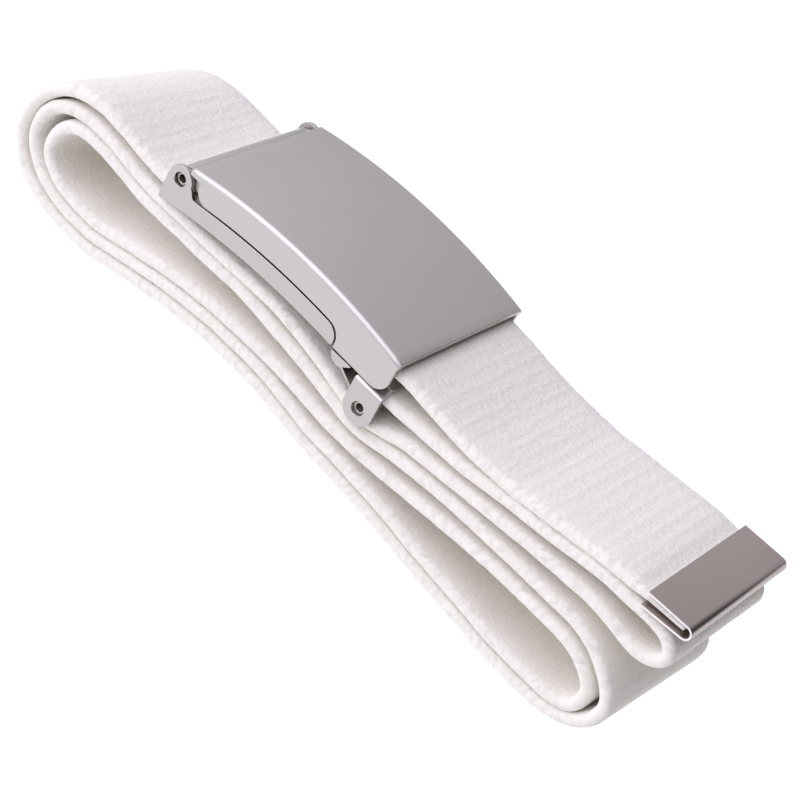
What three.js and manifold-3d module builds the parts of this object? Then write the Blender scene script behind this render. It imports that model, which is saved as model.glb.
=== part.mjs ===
// A canvas web belt, folded to and fro into a flat stack and lying on a level surface.
// Millimetres, +Z up, +X along the stack towards the free end, origin under the middle of the stack.
import * as THREE from "three";
import { mergeVertices } from "three/addons/utils/BufferGeometryUtils.js";
import Module from "manifold-3d";

const wasm = await Module();
wasm.setup();

// Webbing
const webWidth = 38;
const webThickness = 2.9;
const clearance = 0.3; // between pieces that touch
const stackLength = 185; // outermost fold to the end of the metal tip
const looseness = 10; // the room that the slackest loop keeps, which the tables take shares of
const skewLeft = 2.5; // how far the web's edges stand off its middle at the left folds, along X
const dropLeft = 2.2; // and how far up and down
const skewRight = 0.7; // the same at the right folds
const dropRight = 1.35;
const edgeRound = 0.9; // how far in from the selvedge the web starts to thin

// Buckle, in its own frame: the middle of the straight line between the lid's ends
const sheet = 0.9;
const edgeRoom = 0.85; // between the web's edge and a side wall
const buckleAt = -0.0826; // share of stackLength from the middle
const lidLength = 61.2;
const lidCrown = 3.1;
const lidCorner = 1.15; // bend between the lid's top and its sides
const seamDrop = 3.5; // from the lid's ends' height down to the seam's highest point
const seamRadius = 166;
const seamGap = 0.45; // between the lid's side and the frame's
const seamCorner = 3; // where the seam turns down at the foot
const footLength = 15; // of the lid's deep side at its free end
const footDrop = 8.9;
const footCorner = 3.6;
const floorDrop = 8.45; // down to the underside of the frame's floor at its highest
const floorRadius = 185;
const frameReach = 35.7; // from the middle to the frame's hinge end
const hingeBeyond = 1.7; // from the lid's end to the hinge pin
const hingeDrop = 4.3;
const earRadius = 3.2;
const knuckleRadius = 2.4; // round the pin inside the ears
const pinRadius = 1.3;
const pinBore = 0.95;
const gripperTeeth = 13;

// Clamp that holds the belt's fixed end, under the frame
const clampAt = 26.8; // its pin, from the buckle's middle
const clampDrop = 15.5;
const clampEarLength = 7.6;
const clampEarTail = 3.8; // from the pin down to the ear's foot
const leverReach = 10.4; // from the pin to the lever's far edge
const leverRise = 4.6;
const leverSheet = 0.8;
const clampTeeth = 11;

// Tip, a folded sheet crimped on the free end
const tipLength = 11.5;
const tipWidth = 40;
const tipMouth = 3.8; // height outside at the open end
const tipNose = 3.3; // and at the bend
const tipSheet = 0.5;
const tipPitch = THREE.MathUtils.degToRad(3.3);
const pinRecess = 0.7; // how far the pins end inside the ears' outer faces

// The runs of the stack, from the lowest, at shares of stackLength from its left end.
// arch lifts the lowest run; the other columns are the air over the run beneath. All are shares of looseness.
const layers = [
  { at: 0.1, arch: 0, second: 0.02, third: 0.01, fourth: 1.28, fifth: 0, sixth: 0, top: 0.15 },
  { at: 0.148, arch: 0, second: 0.02, third: 0.01, fourth: 1.26, fifth: 0, sixth: 0, top: 0.17 },
  { at: 0.199, arch: 0.2, second: 0.02, third: 0.01, fourth: 0.96, fifth: 0, sixth: 0, top: 0.18 },
  { at: 0.253, arch: 0.42, second: 0.04, third: 0.02, fourth: 0.74, fifth: 0, sixth: 0, top: 0 },
  { at: 0.308, arch: 0.62, second: 0.02, third: 0.02, fourth: 0.56, fifth: 0, sixth: 0, top: 0 },
  { at: 0.362, arch: 0.7, second: 0.04, third: 0.03, fourth: 0.5, fifth: 0, sixth: 0, top: 0 },
  { at: 0.416, arch: 0.72, second: 0.04, third: 0.04, fourth: 0.38, fifth: 0.12, sixth: 0, top: 0 },
  { at: 0.471, arch: 0.63, second: 0.04, third: 0.12, fourth: 0.28, fifth: 0.1, sixth: 0, top: 0 },
  { at: 0.525, arch: 0.5, second: 0.02, third: 0.18, fourth: 0.2, fifth: 0.04, sixth: 0, top: 0 },
  { at: 0.563, arch: 0.46, second: 0.04, third: 0.2, fourth: 0.11, fifth: 0, sixth: 0.5, top: 0 },
  { at: 0.634, arch: 0.38, second: 0.04, third: 0.38, fourth: 0.24, fifth: 0.09, sixth: 0.19, top: 0.27 },
  { at: 0.688, arch: 0.27, second: 0.02, third: 0.63, fourth: 0.22, fifth: 0.1, sixth: 0.14, top: 0.12 },
  { at: 0.742, arch: 0.17, second: 0.02, third: 0.82, fourth: 0.18, fifth: 0.16, sixth: 0.16, top: 0 },
  { at: 0.797, arch: 0.07, second: 0.02, third: 0.98, fourth: 0.14, fifth: 0.24, sixth: 0.18, top: 0 },
  { at: 0.84, arch: 0, second: 0.02, third: 1.05, fourth: 0.14, fifth: 0.29, sixth: 0.23, top: 0 },
  { at: 0.89, arch: 0, second: 0.02, third: 1.05, fourth: 0.14, fifth: 0.34, sixth: 0.31, top: 0 },
  { at: 0.957, arch: 0, second: 0.02, third: 1.05, fourth: 0.14, fifth: 0.2, sixth: 0.46, top: 0 },
];

// The folds that join the runs. side: -1 left, 1 right. at: where the fold starts, as a share of stackLength.
// nested: how many webs lie outside it. inset: more distance from that end of the stack, in shares of looseness.
// waist: height of its furthest point, as a share of the way from the lower run to the upper one.
// upper, lower: how full each half is; 0.55 is an ellipse.
const folds = {
  outerLeft: { side: -1, at: 0.123, nested: 0, inset: 0, waist: 0.43, upper: 0.55, lower: 0.6 },
  middleLeft: { side: -1, at: 0.123, nested: 1, inset: 0.02, waist: 0.47, upper: 0.61, lower: 0.55 },
  innerLeft: { side: -1, at: 0.123, nested: 2, inset: 0.19, waist: 0.42, upper: 0.63, lower: 0.56 },
  lowRight: { side: 1, at: 0.883, nested: 0, inset: 0.39, waist: 0.49, upper: 0.44, lower: 0.63 },
  innerRight: { side: 1, at: 0.883, nested: 1, inset: 0.53, waist: 0.46, upper: 0.5, lower: 0.78 },
  highRight: { side: 1, at: 0.957, nested: 0, inset: 0.08, waist: 0.5, upper: 0.55, lower: 0.55 },
};

const pitch = webThickness + clearance; // one web on the next
const innerHalf = webWidth / 2 + edgeRoom;
const outerHalf = innerHalf + sheet;
const stackLeft = -stackLength / 2;
const stackX = (share) => stackLeft + share * stackLength;

// A smooth curve through knots {x, z} that never swings past them, level at its ends unless a slope is given.
function smoothThrough(knots, firstSlope = 0, lastSlope = 0) {
  const last = knots.length - 1;
  const rise = (i) => (knots[i + 1].z - knots[i].z) / (knots[i + 1].x - knots[i].x);
  const slopes = knots.map((_, i) => {
    if (i === 0) return firstSlope;
    if (i === last) return lastSlope;
    const [before, after] = [rise(i - 1), rise(i)];
    return before * after <= 0 ? 0 : (2 * before * after) / (before + after);
  });
  return (x) => {
    if (x <= knots[0].x) return knots[0].z + (x - knots[0].x) * firstSlope;
    if (x >= knots[last].x) return knots[last].z + (x - knots[last].x) * lastSlope;
    const i = knots.findIndex((knot) => knot.x > x) - 1;
    const [a, b] = [knots[i], knots[i + 1]];
    const width = b.x - a.x;
    const u = (x - a.x) / width;
    const [u2, u3] = [u * u, u * u * u];
    return (
      a.z * (2 * u3 - 3 * u2 + 1) +
      slopes[i] * width * (u3 - 2 * u2 + u) +
      b.z * (3 * u2 - 2 * u3) +
      slopes[i + 1] * width * (u3 - u2)
    );
  };
}

// The underside of each run of the stack over x.
const column = (name) => smoothThrough(layers.map((row) => ({ x: stackX(row.at), z: row[name] * looseness })));
const runs = { first: column("arch") };
[
  ["second", "first"],
  ["third", "second"],
  ["fourth", "third"],
  ["fifth", "fourth"],
].forEach(([name, below]) => {
  const air = column(name);
  runs[name] = (x) => runs[below](x) + pitch + air(x);
});
const airUnderSixth = column("sixth");
const airUnderTop = column("top");

// The buckle lies on the fifth run with its hinge end and with the pin of its clamp.
const buckleX = buckleAt * stackLength;
const sag = (x, radius) => radius - Math.sqrt(radius * radius - x * x);
const floorUnder = (x) => -floorDrop - sag(Math.min(x, floorEnd), floorRadius);
const floorEnd = clampAt - clampEarLength / 2 - 8.4; // where the side walls end and the floor runs on level
const seats = [
  { x: -frameReach, z: floorUnder(-frameReach) },
  { x: clampAt, z: -clampDrop - pinRadius },
].map((seat) => ({ ...seat, on: runs.fifth(buckleX + seat.x) + pitch }));
const buckleTilt = (seats[1].on - seats[1].z - (seats[0].on - seats[0].z)) / (seats[1].x - seats[0].x);
const buckleZ = seats[0].on - seats[0].z - buckleTilt * seats[0].x;
const fromBuckle = (x, z) => ({ x: buckleX + x - buckleTilt * z, z: buckleZ + z + buckleTilt * x });

// The short run that ends in the clamp, and the top run with the tip.
const clampedEnd = clampAt - 3.3;
const clampedLow = floorUnder(clampAt) - clearance - webThickness;
const sixthKnots = [clampedEnd, clampAt + clampEarLength / 2 + 1].map((x) => fromBuckle(x, clampedLow));
layers
  .filter((row) => row.at > 0.6)
  .forEach((row) => {
    const x = stackX(row.at);
    sixthKnots.push({ x, z: runs.fifth(x) + pitch + airUnderSixth(x) });
  });
runs.sixth = smoothThrough(sixthKnots, buckleTilt);

const tipX = stackLength / 2 - skewRight - tipLength * Math.cos(tipPitch);
const tipZ = runs.sixth(tipX) + pitch + tipMouth / 2;
const tipWeb = tipMouth - 2 * (tipSheet + clearance); // thickness of the web where the tip grips it
const topLow = (x) => runs.sixth(x) + pitch + airUnderTop(x);
const liftAtExit = 0.7; // share of the room under the lid's free end
const exitX = lidLength / 2;
const exitRoom = -sheet - webThickness - (floorUnder(exitX) + sheet);
const topKnots = [
  ...layers.filter((row) => row.at < 0.2).map((row) => {
    const x = stackX(row.at);
    return { x, z: runs.fifth(x) + pitch + airUnderTop(x) };
  }),
  ...[-0.93, -0.7, -0.45, -0.2, 0.05, 0.28].map((share) => {
    const x = share * frameReach;
    return fromBuckle(x, floorUnder(x) + sheet + clearance);
  }),
  fromBuckle(exitX, floorUnder(exitX) + sheet + exitRoom * liftAtExit),
  ...layers.filter((row) => row.at > 0.6 && stackX(row.at) < tipX - 6).map((row) => {
    const x = stackX(row.at);
    return { x, z: topLow(x) };
  }),
  { x: tipX, z: tipZ - webThickness / 2 },
];
runs.top = smoothThrough(topKnots, 0, Math.tan(tipPitch));

// The middle line of a run, from x to x, as points {x, z, thick}.
function runLine(run, from, to, thickAt = () => webThickness) {
  const steps = Math.ceil(Math.abs(to - from) / 0.5);
  return Array.from({ length: steps + 1 }, (_, i) => {
    const x = from + ((to - from) * i) / steps;
    return { x, z: run(x) + webThickness / 2, thick: thickAt(x) };
  });
}

// The middle line of a fold, from one run to the other: two quarter arcs that meet at its furthest point.
function foldLine(name, fromRun, toRun) {
  const fold = folds[name];
  const startX = stackX(fold.at);
  const end = fold.side < 0 ? stackLeft + skewLeft : stackLength / 2;
  const endX = end - fold.side * (webThickness / 2 + fold.nested * pitch + fold.inset * looseness);
  const [start, stop] = [fromRun, toRun].map((run) => run(startX) + webThickness / 2);
  const waistZ = Math.min(start, stop) + Math.abs(stop - start) * fold.waist;
  const quarter = (z) => {
    const full = z > waistZ ? fold.upper : fold.lower;
    const curve = new THREE.CubicBezierCurve(
      new THREE.Vector2(startX, z),
      new THREE.Vector2(startX + (endX - startX) * full, z),
      new THREE.Vector2(endX, waistZ + (z - waistZ) * full),
      new THREE.Vector2(endX, waistZ),
    );
    return curve.getPoints(40);
  };
  const line = [...quarter(start), ...quarter(stop).reverse().slice(1)];
  return line.slice(1, -1).map((p) => ({ x: p.x, z: p.y, thick: webThickness }));
}

// The whole web's middle line, from the free end in the tip to the end in the clamp.
function webLine() {
  const [left, right, high] = [folds.outerLeft.at, folds.lowRight.at, folds.highRight.at].map(stackX);
  const webEnd = tipX + (tipLength - tipNose / 2 - 2 * clearance) * Math.cos(tipPitch);
  const gripped = smoothThrough([
    { x: tipX - 3, z: webThickness },
    { x: tipX, z: tipWeb },
    { x: webEnd, z: tipWeb - (tipMouth - tipNose) },
  ]);
  return [
    ...runLine(runs.top, webEnd, left, gripped),
    ...foldLine("outerLeft", runs.top, runs.first),
    ...runLine(runs.first, left, right),
    ...foldLine("lowRight", runs.first, runs.fourth),
    ...runLine(runs.fourth, right, left),
    ...foldLine("innerLeft", runs.fourth, runs.third),
    ...runLine(runs.third, left, right),
    ...foldLine("innerRight", runs.third, runs.second),
    ...runLine(runs.second, right, left),
    ...foldLine("middleLeft", runs.second, runs.fifth),
    ...runLine(runs.fifth, left, high),
    ...foldLine("highRight", runs.fifth, runs.sixth),
    ...runLine(runs.sixth, high, fromBuckle(clampedEnd, 0).x),
  ];
}

// Keeps the points of a line that are needed: one for each turn of maxTurn and each change of thickness,
// and none further apart than maxStep.
function thinned(line, maxTurn, maxStep) {
  const thinnest = 0.2;
  const heading = line.map((p, i) => {
    const [a, b] = [line[Math.max(i - 1, 0)], line[Math.min(i + 1, line.length - 1)]];
    return Math.atan2(b.z - a.z, b.x - a.x);
  });
  const kept = [];
  let [turn, run] = [0, 0];
  line.forEach((p, i) => {
    if (i > 0) {
      const bend = heading[i] - heading[i - 1];
      turn += Math.abs(Math.atan2(Math.sin(bend), Math.cos(bend)));
      run += Math.hypot(p.x - line[i - 1].x, p.z - line[i - 1].z);
    }
    const thinning = i > 0 && Math.abs(p.thick - kept[kept.length - 1].thick) > thinnest;
    if (i === 0 || i === line.length - 1 || turn >= maxTurn || run >= maxStep || thinning) {
      kept.push({ ...p, heading: heading[i] });
      [turn, run] = [0, 0];
    }
  });
  return kept;
}

// The folds stand a little askew: towards both ends of the stack the web's near edge lies higher than its far one.
// At the left it also reaches further out, and at the right the upper runs do and the lower ones fall short.
const leanLeft = buckleX - frameReach;
const leanRight = buckleX + clampAt + clampEarLength;
const topHeight = buckleZ + lidCrown;
function lean(p) {
  const side = p.y / (webWidth / 2);
  const height = p.z / topHeight;
  const left = THREE.MathUtils.smoothstep(leanLeft - p.x, 0, leanLeft - stackLeft);
  const right = THREE.MathUtils.smoothstep(p.x, leanRight, tipX);
  p.x += side * (skewLeft * left - skewRight * right * (2 * height - 1));
  p.z -= side * height * (dropLeft * left + dropRight * right);
  return p;
}

// A closed mesh from rings of points that all have the same count, with flat ends.
function loft(rings, capOutline) {
  const count = rings[0].length;
  const index = [];
  for (let r = 0; r + 1 < rings.length; r++) {
    for (let i = 0; i < count; i++) {
      const j = (i + 1) % count;
      const [a, b, c, d] = [r * count + i, r * count + j, (r + 1) * count + j, (r + 1) * count + i];
      index.push(a, b, c, a, c, d);
    }
  }
  const lastRing = (rings.length - 1) * count;
  const turns = THREE.ShapeUtils.isClockWise(capOutline);
  THREE.ShapeUtils.triangulateShape(capOutline, []).forEach((triangle) => {
    const same = THREE.ShapeUtils.isClockWise(triangle.map((i) => capOutline[i])) === turns;
    const [a, b, c] = same ? triangle : triangle.toReversed();
    index.push(c, b, a, lastRing + a, lastRing + b, lastRing + c);
  });
  const geometry = new THREE.BufferGeometry().setFromPoints(rings.flat());
  geometry.setIndex(index);
  return geometry;
}

// manifold-3d solids from geometries, and back.
function solidOf(geometry) {
  const bare = geometry.clone();
  bare.deleteAttribute("normal");
  bare.deleteAttribute("uv");
  const merged = mergeVertices(bare, 1e-4);
  const make = (triVerts) =>
    new wasm.Manifold(
      new wasm.Mesh({ numProp: 3, vertProperties: merged.attributes.position.array, triVerts }),
    );
  const triVerts = new Uint32Array(merged.index.array);
  const solid = make(triVerts);
  return solid.volume() < 0 ? make(triVerts.reverse()) : solid;
}

function geometryOf(solid) {
  const mesh = solid.getMesh();
  const geometry = new THREE.BufferGeometry();
  geometry.setAttribute("position", new THREE.BufferAttribute(mesh.vertProperties, 3));
  geometry.setIndex(new THREE.BufferAttribute(mesh.triVerts, 1));
  return geometry;
}

// An outline in the XZ plane, carried across the belt from y to y.
function across(outline, fromY, toY) {
  const shape = new THREE.Shape(outline.map(([x, z]) => new THREE.Vector2(x, z)));
  const geometry = new THREE.ExtrudeGeometry(shape, { depth: toY - fromY, bevelEnabled: false });
  return geometry.rotateX(Math.PI / 2).translate(0, toY, 0);
}

const bothSides = (outline, inner, outer) =>
  solidOf(across(outline, inner, outer)).add(solidOf(across(outline, -outer, -inner)));

const arc = (x, z, radius, fromDeg, toDeg, steps) =>
  Array.from({ length: steps + 1 }, (_, i) => {
    const angle = THREE.MathUtils.degToRad(fromDeg + ((toDeg - fromDeg) * i) / steps);
    return [x + radius * Math.cos(angle), z + radius * Math.sin(angle)];
  });

const along = (fromX, toX, steps, height) =>
  Array.from({ length: steps + 1 }, (_, i) => {
    const x = fromX + ((toX - fromX) * i) / steps;
    return [x, height(x)];
  });

const rod = (x, z, radius, halfLength, sides = 20) =>
  new THREE.CylinderGeometry(radius, radius, 2 * halfLength, sides).translate(x, 0, z);

// A bent sheet with two side walls: outline holds [y, z] points, carried along X and lifted by height(x).
function channel(outline, fromX, toX, steps, height) {
  const rings = along(fromX, toX, steps, height).map(([x, lift]) =>
    outline.map(([y, z]) => new THREE.Vector3(x, y, z + lift)),
  );
  return solidOf(loft(rings, outline.map(([y, z]) => new THREE.Vector2(y, z))));
}

// Section of a channel open upwards (way 1) or downwards (way -1), its back at z 0 and its walls depth high.
function channelSection(way, depth, corner) {
  const outer = arc(outerHalf - corner, corner, corner, 270, 360, 4);
  const inner = arc(outerHalf - corner, corner, corner - sheet, 360, 270, 4);
  const half = [...outer, [outerHalf, depth], [innerHalf, depth], ...inner];
  const mirrored = half.map(([y, z]) => [-y, z]).reverse();
  return [...half, ...mirrored].map(([y, z]) => [y, z * way]);
}

const hinge = { x: -lidLength / 2 - hingeBeyond, z: -hingeDrop };
const lidRadius = (lidLength * lidLength) / 8 / lidCrown + lidCrown / 2;
const lidTop = (x) => lidCrown - sag(x, lidRadius);
const seam = (x) => -seamDrop - sag(x, seamRadius);
const seamStart = -lidLength / 2 + 6.1;
const footStart = lidLength / 2 - footLength;
const wallEnd = footStart - seamGap;
const wallCorner = {
  x: wallEnd - seamCorner,
  z: seam(wallEnd - seamCorner) - seamGap - seamCorner,
};
const hole = () => solidOf(rod(hinge.x, hinge.z, pinRadius + clearance, outerHalf + 2));

function webbing() {
  const half = webWidth / 2;
  const flat = half - edgeRound;
  const side = [
    [flat, 1],
    [half - edgeRound * 0.28, 0.62],
    [half, 0],
    [half - edgeRound * 0.28, -0.62],
    [flat, -1],
  ];
  const section = [...side, ...side.map(([y, share]) => [-y, share]).reverse()];
  const rings = thinned(webLine(), THREE.MathUtils.degToRad(9), 6).map((p) =>
    section.map(([y, share]) => {
      const off = (share * p.thick) / 2;
      return lean(new THREE.Vector3(p.x - Math.sin(p.heading) * off, y, p.z + Math.cos(p.heading) * off));
    }),
  );
  return geometryOf(solidOf(loft(rings, section.map(([y, share]) => new THREE.Vector2(y, share)))));
}

function buckleFrame() {
  const sideOutline = [
    [-frameReach, -floorDrop - hingeDrop],
    [-frameReach, hinge.z - earRadius],
    ...arc(hinge.x, hinge.z, earRadius, 180, 5, 12),
    ...arc(hinge.x + earRadius + 2.2, hinge.z - 0.3, 1.5, 190, 262, 4),
    ...along(seamStart, wallCorner.x, 16, (x) => seam(x) - seamGap).slice(0, -1),
    ...arc(wallCorner.x, wallCorner.z, seamCorner, 90, 0, 5),
    ...arc(wallEnd - 1.2, floorUnder(wallEnd) + 1.2, 1.2, 0, -90, 3),
    [wallEnd - 1.2, -floorDrop - hingeDrop],
  ];
  const trough = channel(channelSection(1, 12, 1.05), -frameReach, wallEnd, 26, floorUnder);
  const walls = trough.intersect(solidOf(across(sideOutline, -outerHalf - 1, outerHalf + 1)));
  // The floor runs on under the lid's foot, joggled outwards into two ears that hang down beside the web.
  const tongueHalf = webWidth / 2 + 0.2;
  const tongueEnd = clampAt + clampEarLength / 2;
  const low = floorUnder(clampAt);
  const tongue = solidOf(
    across(
      [
        ...along(wallEnd - 4, tongueEnd, 8, floorUnder),
        ...along(tongueEnd, wallEnd - 4, 8, (x) => floorUnder(x) + sheet),
      ],
      -tongueHalf + 1,
      tongueHalf - 1,
    ),
  );
  const legs = [
    [tongueHalf - 1.1, sheet],
    [tongueHalf, 0],
    [innerHalf + 0.1, -0.4],
    [outerHalf - 0.35, -0.55],
    [outerHalf, -1],
    [outerHalf, -20],
    [innerHalf, -20],
    [innerHalf, -1.6],
    [innerHalf - 0.5, -1.1],
    [tongueHalf - 1.1, 0],
  ];
  const section = [...legs, ...legs.map(([y, z]) => [-y, z]).reverse()];
  const earOutline = [
    [tongueEnd - clampEarLength, -floorDrop + 2],
    [tongueEnd - clampEarLength, -clampDrop - 1],
    ...arc(clampAt, -clampDrop, clampEarTail, 205, 335, 8),
    [tongueEnd, -clampDrop - 1],
    [tongueEnd, -floorDrop + 2],
  ];
  const ears = channel(section, tongueEnd - clampEarLength, tongueEnd, 1, () => low).intersect(
    solidOf(across(earOutline, -outerHalf - 1, outerHalf + 1)),
  );
  const pinHole = solidOf(rod(clampAt, -clampDrop, pinRadius + clearance, outerHalf + 2));
  return geometryOf(walls.add(tongue).add(ears).subtract(hole()).subtract(pinHole));
}

function lid() {
  const [left, right] = [-lidLength / 2, lidLength / 2];
  const under = -sheet - 0.6;
  const sideOutline = [
    [left - 1, lidCrown + 1],
    [right + 1, lidCrown + 1],
    [right + 1, 0],
    [right - 0.4, under],
    ...arc(right - 0.4 - footCorner, -footDrop + footCorner, footCorner, 0, -90, 6),
    [footStart, -footDrop + 0.4],
    ...arc(wallCorner.x, wallCorner.z, seamCorner + seamGap, 0, 90, 5),
    ...along(wallCorner.x, seamStart, 16, seam).slice(1),
    ...arc(seamStart, seam(seamStart) + 3, 3, 250, 180, 4),
    [seamStart - 3, under],
    [left - 1, under],
  ];
  const shell = channel(channelSection(-1, 14, lidCorner), left, right, 28, lidTop);
  const cover = shell.intersect(solidOf(across(sideOutline, -outerHalf - 1, outerHalf + 1)));
  // Inside the frame's ears two lugs reach from the cover to the pin.
  const lugOutline = [
    ...arc(hinge.x, hinge.z, knuckleRadius, 150, 320, 12),
    [left + 7.5, seam(seamStart) + 3.2],
    [left + 7.5, lidTop(left + 7.5) - sheet / 2],
    [left + 1, lidTop(left + 1) - sheet / 2],
    [left + 0.6, lidTop(left) - sheet],
  ];
  const lugs = bothSides(lugOutline, innerHalf - clearance - sheet, innerHalf - clearance);
  return geometryOf(cover.add(lugs).subtract(hole()));
}

// Notches across a bar, from -half to half, at one outline in the XZ plane.
function notches(outline, half, count) {
  const step = (2 * half) / count;
  const cuts = Array.from({ length: count }, (_, i) => {
    const y = -half + (i + 0.5) * step;
    return solidOf(across(outline, y - step / 4, y + step / 4));
  });
  return wasm.Manifold.union(cuts);
}

// The bar that grips the web when the lid is shut: a sleeve on the hinge pin with a toothed lip.
function gripper() {
  const half = innerHalf - 2 * clearance - sheet;
  const lipX = hinge.x + 3.9;
  const webTop = floorUnder(lipX) + sheet + pitch;
  const profile = [
    ...arc(hinge.x, hinge.z, knuckleRadius, 40, 300, 14),
    [lipX - 0.9, webTop + clearance + 0.1],
    [lipX, webTop + clearance + 0.15],
    [lipX + 0.2, webTop + 1.2],
  ];
  const lipCut = [
    [lipX - 1.4, webTop - 1],
    [lipX + 1, webTop - 1],
    [lipX + 1, webTop + 1.1],
    [lipX - 1.2, webTop + 0.9],
  ];
  const bar = solidOf(across(profile, -half, half));
  return geometryOf(bar.subtract(notches(lipCut, half, gripperTeeth)).subtract(hole()));
}

// A hollow pin in its two ears.
function pin(at) {
  const half = outerHalf - pinRecess;
  const tube = solidOf(rod(at.x, at.z, pinRadius, half)).subtract(solidOf(rod(at.x, at.z, pinBore, half + 1, 14)));
  return geometryOf(tube);
}

// The clamp's lever: it hooks over its pin, bites the web's end from below and rises to the frame.
function clampLever() {
  const half = innerHalf - clearance;
  const bend = pinRadius + clearance;
  const outer = bend + leverSheet;
  const far = { x: clampAt - leverReach, z: -clampDrop + leverRise };
  const plate = [
    ...arc(clampAt, -clampDrop, outer, 0, 160, 10),
    [far.x + 0.45, far.z + leverSheet - 0.1],
    [far.x, far.z],
    ...arc(clampAt, -clampDrop, bend, 170, 0, 10),
  ];
  const wingTop = -footDrop - clearance;
  const wing = [
    [far.x - 0.9, wingTop],
    [far.x - 0.6, far.z + 1],
    [far.x, far.z],
    [far.x + 1.8, far.z - 0.6],
    [far.x + 2.5, far.z - 0.3],
    [far.x + 4.6, wingTop - 0.3],
    [far.x + 4.6, wingTop],
  ];
  const biteX = clampAt + 0.4;
  const bite = [
    [biteX - 0.8, -clampDrop + outer - 0.4],
    [biteX + 0.8, -clampDrop + outer - 0.4],
    [biteX, clampedLow - clearance],
  ];
  const gap = [
    [biteX - 1.4, -clampDrop + outer + 0.02],
    [biteX + 1.4, -clampDrop + outer + 0.02],
    [biteX + 1.4, clampedLow + 1],
    [biteX - 1.4, clampedLow + 1],
  ];
  const teeth = solidOf(across(bite, -half + 1, half - 1)).subtract(notches(gap, half, clampTeeth));
  const wings = bothSides(wing, webWidth / 2 + 0.55, outerHalf - 0.25);
  const bridge = solidOf(
    across(
      [
        [far.x + 0.45, far.z + leverSheet - 0.1],
        [far.x, far.z],
        [far.x + 1.8, far.z - 0.6],
        [far.x + 2.2, far.z],
      ],
      -outerHalf + 0.25,
      outerHalf - 0.25,
    ),
  );
  return geometryOf(solidOf(across(plate, -half, half)).add(bridge).add(teeth).add(wings));
}

function tip() {
  const [mouth, nose, long] = [tipMouth / 2, tipNose / 2, tipLength - tipNose / 2];
  const outline = [
    [0, mouth],
    ...arc(long, 0, nose, 90, -90, 10),
    [0, -mouth],
    [0, -mouth + tipSheet],
    ...arc(long, 0, nose - tipSheet, -90, 90, 8),
    [0, mouth - tipSheet],
  ];
  return across(outline, -tipWidth / 2, tipWidth / 2);
}

const finish = (color, metalness, roughness) => new THREE.MeshStandardMaterial({ color, metalness, roughness });
const cotton = finish(0xf2efee, 0, 0.95);
const satinSteel = finish(0xb4b0ae, 0.9, 0.36);
const polishedSteel = finish(0xc9c6c3, 1, 0.24);
const darkSteel = finish(0x958a86, 0.95, 0.3);

function piece(name, geometry, material) {
  const mesh = new THREE.Mesh(geometry, material);
  mesh.name = name;
  return mesh;
}

const buckle = new THREE.Group();
buckle.position.set(buckleX, 0, buckleZ);
buckle.rotation.y = -Math.atan(buckleTilt);
buckle.add(
  piece("buckle_frame", buckleFrame(), polishedSteel),
  piece("lid", lid(), satinSteel),
  piece("gripper", gripper(), darkSteel),
  piece("hinge_pin", pin(hinge), polishedSteel),
  piece("clamp_lever", clampLever(), polishedSteel),
  piece("clamp_pin", pin({ x: clampAt, z: -clampDrop }), polishedSteel),
);

const tipMesh = piece("tip", tip(), darkSteel);
tipMesh.position.set(tipX, 0, tipZ);
const tipLean = lean(new THREE.Vector3(tipX, webWidth / 2, tipZ)).sub(tipMesh.position);
tipMesh.rotation.set(Math.atan(tipLean.z / tipLean.y), -tipPitch, -Math.atan(tipLean.x / tipLean.y));

const belt = new THREE.Group();
belt.add(piece("webbing", webbing(), cotton), buckle, tipMesh);

export default belt;
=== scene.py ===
import math

import bmesh
import bpy
import numpy as np
from mathutils import Matrix, Vector


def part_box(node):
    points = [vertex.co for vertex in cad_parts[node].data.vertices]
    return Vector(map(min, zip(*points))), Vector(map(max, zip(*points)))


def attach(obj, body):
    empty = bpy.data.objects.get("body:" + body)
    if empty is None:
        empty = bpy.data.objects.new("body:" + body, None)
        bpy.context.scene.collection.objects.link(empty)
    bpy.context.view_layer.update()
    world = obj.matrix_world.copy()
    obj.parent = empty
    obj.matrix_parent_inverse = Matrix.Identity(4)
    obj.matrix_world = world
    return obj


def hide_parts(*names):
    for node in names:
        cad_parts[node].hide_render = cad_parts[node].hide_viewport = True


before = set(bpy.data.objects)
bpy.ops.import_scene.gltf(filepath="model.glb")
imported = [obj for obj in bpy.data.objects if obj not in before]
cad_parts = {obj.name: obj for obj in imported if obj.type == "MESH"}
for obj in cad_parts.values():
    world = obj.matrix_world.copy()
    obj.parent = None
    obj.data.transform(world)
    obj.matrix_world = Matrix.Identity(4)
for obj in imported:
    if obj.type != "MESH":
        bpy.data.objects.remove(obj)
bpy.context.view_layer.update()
mm = 0.001
scene = bpy.context.scene
scene.view_settings.view_transform = "Standard"
print("frame loaded:", ", ".join(sorted(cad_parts)))


# the photograph's angle, in millimetres, worked out from the corners of the lid and the tip
photoView = {
    "place": (157.6, -359.5, 316.8),
    "aim": (7.35, 7.02, 11.64),
    "up": (-0.668, 0.295, 0.683),
    "lens": 106.5,
}


def addCamera(view):
    data = bpy.data.cameras.new("camera")
    data.lens = view["lens"]
    data.sensor_width = 36
    data.clip_start = 0.01
    camera = bpy.data.objects.new("camera", data)
    place = Vector(view["place"]) * mm
    forward = (Vector(view["aim"]) * mm - place).normalized()
    right = forward.cross(Vector(view["up"])).normalized()
    turn = Matrix((right, right.cross(forward), -forward)).transposed()
    camera.matrix_world = Matrix.Translation(place) @ turn.to_4x4()
    scene.collection.objects.link(camera)
    scene.camera = camera


addCamera(photoView)
print("camera set")


# short ways to place and join nodes
def newMaterial(name):
    material = bpy.data.materials.new(name)
    material.use_nodes = True
    tree = material.node_tree
    return material, tree, tree.nodes["Principled BSDF"]


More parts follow.
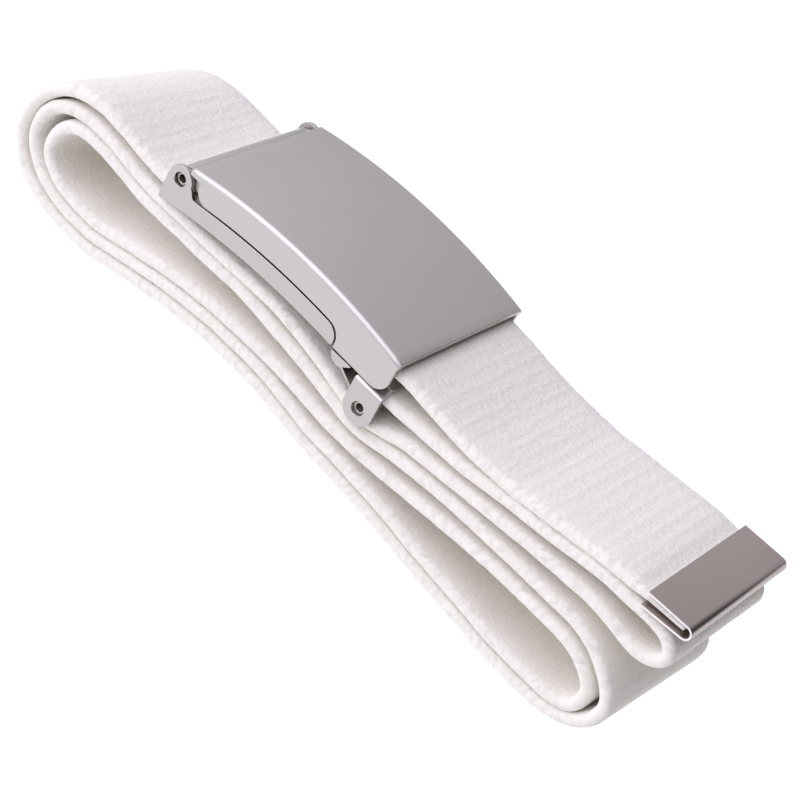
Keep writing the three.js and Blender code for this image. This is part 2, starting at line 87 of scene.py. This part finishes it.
def addNode(tree, kind, at, values=None, **settings):
    node = tree.nodes.new(kind)
    node.location = at
    for key, value in settings.items():
        setattr(node, key, value)
    for key, value in (values or {}).items():
        node.inputs[key].default_value = value
    return node


def addMath(tree, operation, terms, at, clamp=False):
    node = addNode(tree, "ShaderNodeMath", at, operation=operation, use_clamp=clamp)
    for socket, term in zip(node.inputs, terms):
        if isinstance(term, (int, float)):
            socket.default_value = term
        else:
            tree.links.new(term, socket)
    return node.outputs[0]


def addMix(tree, factor, low, high, at):
    node = addNode(tree, "ShaderNodeMix", at, data_type="RGBA")
    tree.links.new(factor, node.inputs["Factor"])
    sockets = [s for s in node.inputs if s.type == "RGBA"]
    for socket, value in zip(sockets, (low, high)):
        if isinstance(value, tuple):
            socket.default_value = (*value, 1)
        else:
            tree.links.new(value, socket)
    return next(s for s in node.outputs if s.type == "RGBA")


def newGroup(name, inputs, outputs):
    group = bpy.data.node_groups.new(name, "ShaderNodeTree")
    for label, value in inputs.items():
        socket = group.interface.new_socket(label, in_out="INPUT", socket_type="NodeSocketFloat")
        socket.default_value = value
    for label in outputs:
        group.interface.new_socket(label, in_out="OUTPUT", socket_type="NodeSocketFloat")
    return group, addNode(group, "NodeGroupInput", (-1100, 0)), addNode(group, "NodeGroupOutput", (900, 0))


def useGroup(tree, group, at, values):
    return addNode(tree, "ShaderNodeGroup", at, values, node_tree=group)


# masks for the cloth: the yarns' bumps, the selvedges' bumps, a grain and fibres
def makeWeaveGroup():
    group, given, result = newGroup(
        "webWeave",
        {"Along": 0.0, "Across": 0.0, "Rib Pitch": 0.003, "Yarn Pitch": 0.001, "Wander": 0.5,
         "Fibre Scale": 2500.0, "Grain Scale": 900.0,
         "Edge Start": 0.017, "Edge Pitch": 0.0015, "Edge Fade": 0.0007, "Edge Sway": 5.0},
        ["Bump", "Edge", "Fibre", "Grain"],
    )
    link = group.links.new
    # one bump for each yarn in a rib, and each rib shifted by half a yarn from the last
    spot = addNode(group, "ShaderNodeTexCoord", (-1100, -400)).outputs["Object"]
    ribs = addMath(group, "DIVIDE", (given.outputs["Along"], given.outputs["Rib Pitch"]), (-900, 200))
    ribNumber = addMath(group, "FLOOR", (ribs,), (-720, 260))
    ribWave = addMath(group, "PINGPONG", (ribs, 0.5), (-720, 100))
    yarns = addMath(group, "DIVIDE", (given.outputs["Across"], given.outputs["Yarn Pitch"]), (-900, 0))
    slow = addNode(group, "ShaderNodeTexNoise", (-900, -300), {"Scale": 160.0, "Detail": 2.0})
    link(spot, slow.inputs["Vector"])
    drift = addMath(group, "MULTIPLY", (slow.outputs["Fac"], given.outputs["Wander"]), (-720, -200))
    shifted = addMath(group, "MULTIPLY_ADD", (ribNumber, 0.5, yarns), (-540, 200))
    place = addMath(group, "ADD", (shifted, drift), (-360, 100))
    phase = addMath(group, "MULTIPLY", (place, 2 * math.pi), (-180, 100))
    wave = addMath(group, "SINE", (phase,), (0, 100))
    yarnBump = addMath(group, "MULTIPLY_ADD", (wave, 0.5, 0.5), (180, 100))
    ribPhase = addMath(group, "MULTIPLY", (ribWave, math.pi), (-180, -60))
    ribBump = addMath(group, "SINE", (ribPhase,), (0, -60))
    link(addMath(group, "MULTIPLY", (yarnBump, ribBump), (360, 60)), result.inputs["Bump"])
    # round the selvedges the yarns lie side by side across the thickness
    outwards = addMath(group, "ABSOLUTE", (given.outputs["Across"],), (-900, -700))
    beyond = addMath(group, "SUBTRACT", (outwards, given.outputs["Edge Start"]), (-720, -700))
    edge = addMath(group, "DIVIDE", (beyond, given.outputs["Edge Fade"]), (-540, -700), clamp=True)
    turns = addMath(group, "DIVIDE", (given.outputs["Along"], given.outputs["Edge Pitch"]), (-720, -860))
    sway = given.outputs["Edge Sway"]
    swayed = addMath(group, "MULTIPLY_ADD", (slow.outputs["Fac"], sway, turns), (-540, -860))
    angle = addMath(group, "MULTIPLY", (swayed, 2 * math.pi), (-360, -860))
    turn = addMath(group, "SINE", (angle,), (-180, -860))
    link(addMath(group, "MULTIPLY", (turn, edge), (0, -760)), result.inputs["Edge"])
    fibre = addNode(group, "ShaderNodeTexNoise", (-180, -300), {"Detail": 4.0, "Roughness": 0.7})
    link(spot, fibre.inputs["Vector"])
    link(given.outputs["Fibre Scale"], fibre.inputs["Scale"])
    link(fibre.outputs["Fac"], result.inputs["Fibre"])
    grain = addNode(group, "ShaderNodeTexNoise", (-180, -560), {"Detail": 2.0, "Roughness": 0.6})
    link(spot, grain.inputs["Vector"])
    link(given.outputs["Grain Scale"], grain.inputs["Scale"])
    link(grain.outputs["Fac"], result.inputs["Grain"])
    return group


weaveGroup = makeWeaveGroup()


# the fine unevenness of plated metal: a grain that may be drawn out along X, and slow clouds
def makePlateGroup():
    group, given, result = newGroup(
        "plateGrain",
        {"Grain Scale": 3000.0, "Draw Out": 1.0, "Cloud Scale": 60.0},
        ["Grain", "Cloud"],
    )
    link = group.links.new
    spot = addNode(group, "ShaderNodeTexCoord", (-1100, -300)).outputs["Object"]
    stretch = addNode(group, "ShaderNodeCombineXYZ", (-900, 0), {"Y": 1.0, "Z": 1.0})
    link(addMath(group, "DIVIDE", (1.0, given.outputs["Draw Out"]), (-1000, 100)), stretch.inputs["X"])
    drawn = addNode(group, "ShaderNodeVectorMath", (-700, 0), operation="MULTIPLY")
    link(spot, drawn.inputs[0])
    link(stretch.outputs[0], drawn.inputs[1])
    grain = addNode(group, "ShaderNodeTexNoise", (-500, 100), {"Detail": 3.0, "Roughness": 0.6})
    link(drawn.outputs[0], grain.inputs["Vector"])
    link(given.outputs["Grain Scale"], grain.inputs["Scale"])
    link(grain.outputs["Fac"], result.inputs["Grain"])
    cloud = addNode(group, "ShaderNodeTexNoise", (-500, -200), {"Detail": 2.0})
    link(spot, cloud.inputs["Vector"])
    link(given.outputs["Cloud Scale"], cloud.inputs["Scale"])
    link(cloud.outputs["Fac"], result.inputs["Cloud"])
    return group


plateGroup = makePlateGroup()


# the cotton's look, with lengths in millimetres; the yarn bumps paint shade into the colour, darker in the
# hollows between yarns
cotton = {
    # raised is the colour of the yarns' lit crests, sunken is painted shade for the hollows between them
    "raised": (0.88, 0.85, 0.78),
    "sunkenShade": (0.825, 0.783, 0.70),
    "bumpShadeShare": 0.25,       # how much the yarn bumps mix the two colours, as painted shade in the hollows between yarns
    "grainShare": 1.6,
    "shadeShift": -0.25,
    "ribPitch": 3.1,
    "yarnPitch": 1.25,
    "yarnWander": 3.0,
    "bumpDepth": 0.045,
    "edgeStart": 17.3,       # distance from the web's middle where the selvedge's bumps set in
    "edgeFade": 0.7,
    "edgePitch": 1.7,
    "edgeSway": 5.0,
    "edgeDepth": 0.045,
    "grainScale": 780.0,
    "grainDepth": 0.26,
    "fibreScale": 2400.0,
    "fibreDepth": 0.06,
    "bumpStrength": 0.8,
    "fibreStrength": 0.7,
    "roughness": 0.92,
    "specular": 0.2,
    "sheen": 0.25,
    "sheenRoughness": 0.6,
}


def makeCotton(look):
    material, tree, shader = newMaterial("cottonWeb")
    link = tree.links.new
    sides = addNode(tree, "ShaderNodeSeparateXYZ", (-1100, 0))
    link(addNode(tree, "ShaderNodeUVMap", (-1300, 0), uv_map="webFaces").outputs[0], sides.inputs[0])
    weave = useGroup(tree, weaveGroup, (-900, 0), {
        "Rib Pitch": look["ribPitch"] * mm,
        "Yarn Pitch": look["yarnPitch"] * mm,
        "Wander": look["yarnWander"],
        "Fibre Scale": look["fibreScale"],
        "Grain Scale": look["grainScale"],
        "Edge Start": look["edgeStart"] * mm,
        "Edge Pitch": look["edgePitch"] * mm,
        "Edge Fade": look["edgeFade"] * mm,
        "Edge Sway": look["edgeSway"],
    })
    link(sides.outputs["X"], weave.inputs["Along"])
    link(sides.outputs["Y"], weave.inputs["Across"])
    # the grain varies the tone at random, and the yarn bumps paint shade, pulling the colour towards the
    # darker sunken colour in the hollows between yarns
    grainTerms = (weave.outputs["Grain"], look["grainShare"], look["shadeShift"])
    grain = addMath(tree, "MULTIPLY_ADD", grainTerms, (-680, -100))
    shadeTerms = (weave.outputs["Bump"], look["bumpShadeShare"], grain)
    shade = addMath(tree, "MULTIPLY_ADD", shadeTerms, (-500, 0), clamp=True)
    link(addMix(tree, shade, look["sunkenShade"], look["raised"], (-300, 100)), shader.inputs["Base Color"])
    # each bump stands on the one before it
    before = None
    bumps = (
        ("Bump", look["bumpDepth"], look["bumpStrength"]),
        ("Edge", look["edgeDepth"], look["bumpStrength"]),
        ("Grain", look["grainDepth"], look["bumpStrength"]),
        ("Fibre", look["fibreDepth"], look["fibreStrength"]),
    )
    for i, (mask, depth, strength) in enumerate(bumps):
        sizes = {"Distance": depth * mm, "Strength": strength}
        bump = addNode(tree, "ShaderNodeBump", (180 * i - 480, -300), sizes)
        link(weave.outputs[mask], bump.inputs["Height"])
        if before:
            link(before.outputs[0], bump.inputs["Normal"])
        before = bump
    link(before.outputs[0], shader.inputs["Normal"])
    shader.inputs["Roughness"].default_value = look["roughness"]
    shader.inputs["Specular IOR Level"].default_value = look["specular"]
    shader.inputs["Sheen Weight"].default_value = look["sheen"]
    shader.inputs["Sheen Roughness"].default_value = look["sheenRoughness"]
    return material


# plated metals: clouds mix the colours tone and dull, the grain changes the roughness by the spread, and cut
# is the colour of the sheet's bare cut edges
platedMetals = {
    "satinLid": {
        "tone": (0.59, 0.57, 0.535),
        "dull": (0.565, 0.545, 0.51),
        "roughness": 0.42,
        "spread": 0.06,
        "grain": 4200.0,
        "drawOut": 1.0,
        "depth": 0.006,
    },
    "brightFrame": {
        "tone": (0.565, 0.54, 0.515),
        "dull": (0.53, 0.505, 0.48),
        "roughness": 0.3,
        "spread": 0.08,
        "grain": 2600.0,
        "drawOut": 6.0,
        "depth": 0.004,
    },
    "darkTip": {
        "tone": (0.48, 0.41, 0.38),
        "dull": (0.455, 0.39, 0.36),
        "cut": (0.84, 0.81, 0.79),
        "roughness": 0.3,
        "spread": 0.08,
        "grain": 3600.0,
        "drawOut": 3.0,
        "depth": 0.004,
    },
}
plating = {
    "cloudFrom": 0.3,
    "cutFacing": 0.8,        # how squarely a face looks along Y to count as a cut edge
    "bumpStrength": 0.5,
}


def makeMetal(name, look, shared):
    material, tree, shader = newMaterial(name)
    link = tree.links.new
    plate = useGroup(tree, plateGroup, (-900, 0), {"Grain Scale": look["grain"], "Draw Out": look["drawOut"]})
    cloud = addMath(tree, "SUBTRACT", (plate.outputs["Cloud"], shared["cloudFrom"]), (-700, 200), clamp=True)
    tone = addMix(tree, cloud, look["dull"], look["tone"], (-300, 200))
    if "cut" in look:
        facing = addNode(tree, "ShaderNodeSeparateXYZ", (-700, 500))
        link(addNode(tree, "ShaderNodeNewGeometry", (-900, 500)).outputs["True Normal"], facing.inputs[0])
        sideways = addMath(tree, "ABSOLUTE", (facing.outputs["Y"],), (-500, 500))
        bare = addMath(tree, "GREATER_THAN", (sideways, shared["cutFacing"]), (-300, 500))
        tone = addMix(tree, bare, tone, look["cut"], (-100, 400))
    link(tone, shader.inputs["Base Color"])
    low = look["roughness"] - look["spread"] / 2
    rough = addMath(tree, "MULTIPLY_ADD", (plate.outputs["Grain"], look["spread"], low), (-300, 0))
    link(rough, shader.inputs["Roughness"])
    sizes = {"Distance": look["depth"] * mm, "Strength": shared["bumpStrength"]}
    bump = addNode(tree, "ShaderNodeBump", (-300, -300), sizes)
    link(plate.outputs["Grain"], bump.inputs["Height"])
    link(bump.outputs[0], shader.inputs["Normal"])
    shader.inputs["Metallic"].default_value = 1.0
    return material


cottonMaterial = makeCotton(cotton)
metals = {name: makeMetal(name, look, plating) for name, look in platedMetals.items()}
print("materials made:", len(metals) + 1)


# the web's two selvedges, read in order from the free end off the construction's own mesh
def readSelvedges(node):
    sameSpot, onSelvedge = 0.002 * mm, 0.01 * mm
    grid = bmesh.new()
    grid.from_mesh(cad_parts[node].data)
    bmesh.ops.remove_doubles(grid, verts=grid.verts, dist=sameSpot)
    low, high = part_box(node)
    lines = []
    for side in (low.y, high.y):
        onEdge = {v for v in grid.verts if abs(v.co.y - side) < onSelvedge}
        nextTo = {v: [e.other_vert(v) for e in v.link_edges if e.other_vert(v) in onEdge] for v in onEdge}
        ends = [v for v in onEdge if len(nextTo[v]) == 1]
        line = [max(ends, key=lambda v: v.co.x)]
        while len(line) < len(onEdge):
            line.append(next(v for v in nextTo[line[-1]] if v not in line[-2:]))
        lines.append(np.array([v.co[:] for v in line]))
    grid.free()
    return lines


# a smooth curve through points that lie at the distances in at, sampled at the distances wanted
def smoothAlong(points, at, wanted):
    step = np.diff(at)
    rise = np.diff(points, axis=0) / step[:, None]
    slope = np.empty_like(points)
    before, after = step[:-1, None], step[1:, None]
    slope[1:-1] = (rise[:-1] * after + rise[1:] * before) / (before + after)
    slope[0], slope[-1] = rise[0], rise[-1]
    i = np.clip(np.searchsorted(at, wanted, side="right") - 1, 0, len(step) - 1)
    h = step[i, None]
    u = ((wanted - at[i]) / step[i])[:, None]
    return (
        points[i] * (2 * u**3 - 3 * u**2 + 1)
        + slope[i] * h * (u**3 - 2 * u**2 + u)
        + points[i + 1] * (3 * u**2 - 2 * u**3)
        + slope[i + 1] * h * (u**3 - u**2)
    )


# the web's shape in millimetres
web = {
    "thickness": 3.06,
    "endInTip": 1.5,         # thickness at the free end, pinched in the tip
    "mouthOfTip": 2.1,       # and where it enters the tip
    "tipDepth": 9.7,
    "tipTaper": 3.5,
    "floorGap": 0.09,        # lowest height before the lumps are added, so that the cloth lies flat
    "edgeRoll": 1.35,        # how far in from the selvedge the faces start to round off
    "ringStep": 0.42,
    "facePoints": 12,
    "edgePoints": 5,
    "edgeWander": 0.12,      # how far the selvedges stray, in waves of the lengths and shifts below
    "edgeWaves": ((3.1, 0.4), (5.3, 1.7), (1.3, 2.9)),
    "edgeHold": 8,           # how sharply the straying dies out away from the selvedge
    "ribPitch": 3.1,
    "ribDepth": 0.06,
    "ribSharpness": 2.6,
    "lumpSize": 1.7,
    "lumpHeight": 0.16,
    "plainEdge": 0.9,        # share of the half width where the ribs begin to fade out
    "plainFade": 0.08,
}


def webSection(look, width):
    flat = width / 2 - look["edgeRoll"] * mm
    face = np.linspace(-flat, flat, look["facePoints"])
    turn = np.linspace(math.pi / 2, -math.pi / 2, look["edgePoints"] + 2)[1:-1]
    across = np.concatenate([face, flat + look["edgeRoll"] * mm * np.cos(turn)])
    height = np.concatenate([np.ones(len(face)), np.sin(turn)])
    return np.concatenate([across, -across]), np.concatenate([height, -height])


def makeWeb(look):
    near, far = readSelvedges("webbing")
    middle = (near + far) / 2
    at = np.concatenate([[0], np.cumsum(np.linalg.norm(np.diff(middle, axis=0), axis=1))])
    rings = int(at[-1] / (look["ringStep"] * mm))
    wanted = np.linspace(0, at[-1], rings)
    near, far = (smoothAlong(line, at, wanted) for line in (near, far))
    middle = (near + far) / 2
    along = np.concatenate([[0], np.cumsum(np.linalg.norm(np.diff(middle, axis=0), axis=1))])
    wayAlong = np.gradient(middle, axis=0)
    wayAcross = far - near
    width = float(np.linalg.norm(wayAcross, axis=1).mean())
    wayAcross /= np.linalg.norm(wayAcross, axis=1)[:, None]
    wayUp = np.cross(wayAlong, wayAcross)
    wayUp /= np.linalg.norm(wayUp, axis=1)[:, None]
    grips = np.array([0, look["tipDepth"], look["tipDepth"] + look["tipTaper"]]) * mm
    thick = np.interp(along, grips, [look["endInTip"], look["mouthOfTip"], look["thickness"]]) * mm
    across, height = webSection(look, width)
    wave = sum(np.sin(along / (length * mm) + shift) for length, shift in look["edgeWaves"])
    wander = look["edgeWander"] * mm * wave / len(look["edgeWaves"])
    outer = np.clip(np.abs(across) / (width / 2), 0, 1) ** look["edgeHold"]
    sideways = across[None] - wander[:, None] * outer[None] * np.sign(across)[None]
    upwards = height[None] * thick[:, None] / 2
    points = middle[:, None] + wayAcross[:, None] * sideways[..., None] + wayUp[:, None] * upwards[..., None]
    points[..., 2] = np.maximum(points[..., 2], look["floorGap"] * mm)
    count = len(across)
    ring = np.arange(rings - 1)[:, None] * count
    here, there = np.arange(count)[None], (np.arange(count)[None] + 1) % count
    corners = [ring + here, ring + there, ring + count + there, ring + count + here]
    quads = np.stack(corners, -1).reshape(-1, 4)
    caps = [list(range(count))[::-1], list(range((rings - 1) * count, rings * count))]
    mesh = bpy.data.meshes.new("canvasWeb")
    mesh.from_pydata(points.reshape(-1, 3), [], quads.tolist() + caps)
    loops = np.array([loop.vertex_index for loop in mesh.loops])
    uv = mesh.uv_layers.new(name="webFaces")
    uv.data.foreach_set("uv", np.stack([along[loops // count], across[loops % count]], -1).ravel())
    free = np.clip((along - grips[1]) / (grips[2] - grips[1]), 0, 1)
    inwards = (look["plainEdge"] - np.abs(across) / (width / 2)) / look["plainFade"] + 1
    relief = free[:, None] * np.clip(inwards, 0, 1)[None]
    values = {"along": np.repeat(along, count), "relief": relief.ravel(), "free": np.repeat(free, count)}
    for name, value in values.items():
        mesh.attributes.new(name, "FLOAT", "POINT").data.foreach_set("value", value)
    mesh.materials.append(cottonMaterial)
    piece = bpy.data.objects.new("canvas_web", mesh)
    scene.collection.objects.link(piece)
    return piece, width, float(along[-1])


# Geometry Nodes: sinks the faces between the ribs, which run across the web, and makes the cloth lumpy
def makeRibTree():
    tree = bpy.data.node_groups.new("webRibs", "GeometryNodeTree")
    face = tree.interface
    face.new_socket("Geometry", in_out="INPUT", socket_type="NodeSocketGeometry")
    for label in ("Rib Pitch", "Rib Depth", "Sharpness", "Lump Size", "Lump Height"):
        face.new_socket(label, in_out="INPUT", socket_type="NodeSocketFloat")
    face.new_socket("Material", in_out="INPUT", socket_type="NodeSocketMaterial")
    face.new_socket("Geometry", in_out="OUTPUT", socket_type="NodeSocketGeometry")
    link = tree.links.new
    given = addNode(tree, "NodeGroupInput", (-1100, 0))
    along = addNode(tree, "GeometryNodeInputNamedAttribute", (-1100, -200), {"Name": "along"})
    relief = addNode(tree, "GeometryNodeInputNamedAttribute", (-1100, -400), {"Name": "relief"})
    ribs = addMath(tree, "DIVIDE", (along.outputs["Attribute"], given.outputs["Rib Pitch"]), (-900, -100))
    part = addMath(tree, "PINGPONG", (ribs, 0.5), (-720, -100))
    angle = addMath(tree, "MULTIPLY", (part, math.pi), (-540, -100))
    crest = addMath(tree, "SINE", (angle,), (-360, -100))
    between = addMath(tree, "SUBTRACT", (1.0, crest), (-200, -100))
    valley = addMath(tree, "POWER", (between, given.outputs["Sharpness"]), (-40, -100))
    depth = addMath(tree, "MULTIPLY", (valley, given.outputs["Rib Depth"]), (120, -100))
    ribbed = addMath(tree, "MULTIPLY", (depth, relief.outputs["Attribute"]), (280, -100))
    lumps = addNode(tree, "ShaderNodeTexNoise", (-40, -500), {"Detail": 1.0, "Roughness": 0.5})
    link(addMath(tree, "DIVIDE", (1.0, given.outputs["Lump Size"]), (-200, -500)), lumps.inputs["Scale"])
    centred = addMath(tree, "SUBTRACT", (lumps.outputs["Fac"], 0.5), (120, -500))
    lumpy = addMath(tree, "MULTIPLY", (centred, given.outputs["Lump Height"]), (280, -500))
    free = addNode(tree, "GeometryNodeInputNamedAttribute", (120, -700), {"Name": "free"})
    raised = addMath(tree, "MULTIPLY", (lumpy, free.outputs["Attribute"]), (440, -500))
    sunk = addMath(tree, "SUBTRACT", (raised, ribbed), (440, -100))
    away = addNode(tree, "ShaderNodeVectorMath", (600, -100), operation="SCALE")
    link(addNode(tree, "GeometryNodeInputNormal", (440, -300)).outputs[0], away.inputs[0])
    link(sunk, away.inputs["Scale"])
    move = addNode(tree, "GeometryNodeSetPosition", (780, 0))
    link(given.outputs["Geometry"], move.inputs["Geometry"])
    link(away.outputs[0], move.inputs["Offset"])
    real = addNode(tree, "GeometryNodeRealizeInstances", (960, 0))
    paint = addNode(tree, "GeometryNodeSetMaterial", (1140, 0))
    link(move.outputs[0], real.inputs[0])
    link(real.outputs[0], paint.inputs["Geometry"])
    link(given.outputs["Material"], paint.inputs["Material"])
    link(paint.outputs[0], addNode(tree, "NodeGroupOutput", (1320, 0)).inputs[0])
    return tree


# turns what the modifiers make into the piece's own plain mesh
def applyModifiers(piece):
    seen = bpy.context.evaluated_depsgraph_get()
    result = piece.evaluated_get(seen)
    mesh = bpy.data.meshes.new_from_object(result, preserve_all_data_layers=True, depsgraph=seen)
    piece.modifiers.clear()
    piece.data = mesh


def addRibs(piece, look):
    tree = makeRibTree()
    values = {
        "Rib Pitch": look["ribPitch"] * mm,
        "Rib Depth": look["ribDepth"] * mm,
        "Sharpness": look["ribSharpness"],
        "Lump Size": look["lumpSize"] * mm,
        "Lump Height": look["lumpHeight"] * mm,
        "Material": cottonMaterial,
    }
    modifier = piece.modifiers.new("ribs", "NODES")
    modifier.node_group = tree
    for socket in tree.interface.items_tree:
        if socket.item_type == "SOCKET" and socket.in_out == "INPUT" and socket.name in values:
            modifier[socket.identifier] = values[socket.name]
    applyModifiers(piece)


canvasWeb, webWidth, webLength = makeWeb(web)
addRibs(canvasWeb, web)
canvasWeb.data.shade_smooth()
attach(canvasWeb, "belt")
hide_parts("webbing")
print(f"web made: {webWidth / mm:.1f} by {webLength / mm:.0f} mm, {len(canvasWeb.data.polygons)} faces")


# metal pieces: the construction's solids with their edges broken and their bends smoothed
metalPieces = {
    "lid": {"name": "lid_cover", "metal": "satinLid", "body": "lid", "slot": "satin_nickel", "edge": 0.14},
    "gripper": {"name": "grip_bar", "metal": "satinLid", "body": "lid", "slot": "dark_nickel", "edge": 0.08},
    "buckle_frame": {
        "name": "frame_trough", "metal": "brightFrame", "body": "belt", "slot": "bright_nickel", "edge": 0.1},
    "hinge_pin": {
        "name": "hinge_rivet", "metal": "brightFrame", "body": "belt", "slot": "bright_nickel", "edge": 0.1},
    "clamp_lever": {
        "name": "clamp_plate", "metal": "brightFrame", "body": "belt", "slot": "bright_nickel", "edge": 0.08},
    "clamp_pin": {
        "name": "clamp_rivet", "metal": "brightFrame", "body": "belt", "slot": "bright_nickel", "edge": 0.1},
    "tip": {"name": "end_tip", "metal": "darkTip", "body": "belt", "slot": "dark_nickel", "edge": 0.1},
}


# how the solids' meshes are cleaned before their edges are broken: lengths in millimetres, angles in degrees
dressing = {
    "sameSpot": 0.004,
    "flatWithin": 0.3,
    "sharpFrom": 35,
    "segments": 3,
}


def dressMetal(node, look, shared):
    grid = bmesh.new()
    grid.from_mesh(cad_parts[node].data)
    bmesh.ops.remove_doubles(grid, verts=grid.verts, dist=shared["sameSpot"] * mm)
    flat = math.radians(shared["flatWithin"])
    bmesh.ops.dissolve_limit(grid, angle_limit=flat, verts=grid.verts, edges=grid.edges)
    mesh = bpy.data.meshes.new(look["name"])
    grid.to_mesh(mesh)
    grid.free()
    mesh.materials.append(metals[look["metal"]])
    mesh.shade_smooth()
    piece = bpy.data.objects.new(look["name"], mesh)
    scene.collection.objects.link(piece)
    bevel = piece.modifiers.new("brokenEdges", "BEVEL")
    bevel.width = look["edge"] * mm
    bevel.segments = shared["segments"]
    bevel.limit_method = "ANGLE"
    bevel.angle_limit = math.radians(shared["sharpFrom"])
    bevel.use_clamp_overlap = False
    bevel.harden_normals = True
    applyModifiers(piece)
    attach(piece, look["body"])
    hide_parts(node)
    return piece


for node, look in metalPieces.items():
    piece = dressMetal(node, look, dressing)
    print("metal piece:", piece.name, len(piece.data.polygons), "faces")


# a pale floor, a room that is darker to the right and towards the horizon, and one large lamp
studio = {
    "floorSize": 6.0,
    "floorColour": (0.12, 0.12, 0.12),
    "floorRoughness": 0.9,
    "floorSpecular": 0.1,
    "floorGlow": (1.0, 0.985, 1.06),
    "floorGlowStrength": 1.02,
    "skyColour": (1.0, 0.98, 1.06),
    "skyStrength": 0.62,
    "skyToLeft": 0.28,       # how much brighter the left is
    "darkFrom": 0.12,        # and where the dark side of the room starts and ends, to the right
    "darkTo": 0.5,
    "darkness": 0.82,
    "horizonHeight": 0.25,   # sine of the height below which it gets darker
    "horizonStrength": 0.4,
    "lampPlace": (-0.7, -0.8, 1.1),
    "lampSize": 2.4,
    "lampPower": 19.8,
    "lampColour": (1.0, 0.99, 1.18),
}


def addFloor(look):
    size = look["floorSize"] / 2
    mesh = bpy.data.meshes.new("floor")
    corners = [(-size, -size, 0), (size, -size, 0), (size, size, 0), (-size, size, 0)]
    mesh.from_pydata(corners, [], [(0, 1, 2, 3)])
    floor = bpy.data.objects.new("floor", mesh)
    scene.collection.objects.link(floor)
    material, _, shader = newMaterial("paleFloor")
    shader.inputs["Base Color"].default_value = (*look["floorColour"], 1)
    shader.inputs["Emission Color"].default_value = (*look["floorGlow"], 1)
    shader.inputs["Emission Strength"].default_value = look["floorGlowStrength"]
    shader.inputs["Roughness"].default_value = look["floorRoughness"]
    shader.inputs["Specular IOR Level"].default_value = look["floorSpecular"]
    mesh.materials.append(material)


def addRoom(look):
    world = bpy.data.worlds.new("paleRoom")
    world.use_nodes = True
    tree = world.node_tree
    link = tree.links.new
    background = tree.nodes["Background"]
    background.inputs["Color"].default_value = (*look["skyColour"], 1)
    way = addNode(tree, "ShaderNodeSeparateXYZ", (-900, 0))
    link(addNode(tree, "ShaderNodeTexCoord", (-1100, 0)).outputs["Generated"], way.inputs[0])
    sideTerms = (way.outputs["X"], -look["skyToLeft"], look["skyStrength"])
    side = addMath(tree, "MULTIPLY_ADD", sideTerms, (-700, 100))
    height = addMath(tree, "DIVIDE", (way.outputs["Z"], look["horizonHeight"]), (-700, -100), clamp=True)
    low = look["horizonStrength"]
    fade = addMath(tree, "MULTIPLY_ADD", (height, 1 - low, low), (-500, -100))
    span = look["darkTo"] - look["darkFrom"]
    start = -look["darkFrom"] / span
    right = addMath(tree, "MULTIPLY_ADD", (way.outputs["X"], 1 / span, start), (-700, 300), clamp=True)
    shut = addMath(tree, "MULTIPLY_ADD", (right, -look["darkness"], 1.0), (-500, 300))
    lit = addMath(tree, "MULTIPLY", (side, shut), (-300, 200))
    link(addMath(tree, "MULTIPLY", (lit, fade), (-150, 0)), background.inputs["Strength"])
    scene.world = world


def addLamp(look):
    data = bpy.data.lights.new("key", "AREA")
    data.shape = "DISK"
    data.size = look["lampSize"]
    data.energy = look["lampPower"]
    data.color = look["lampColour"]
    lamp = bpy.data.objects.new("key", data)
    lamp.location = look["lampPlace"]
    lamp.rotation_euler = (-Vector(look["lampPlace"])).to_track_quat("-Z", "Y").to_euler()
    scene.collection.objects.link(lamp)


addFloor(studio)
addRoom(studio)
addLamp(studio)
print("studio set")
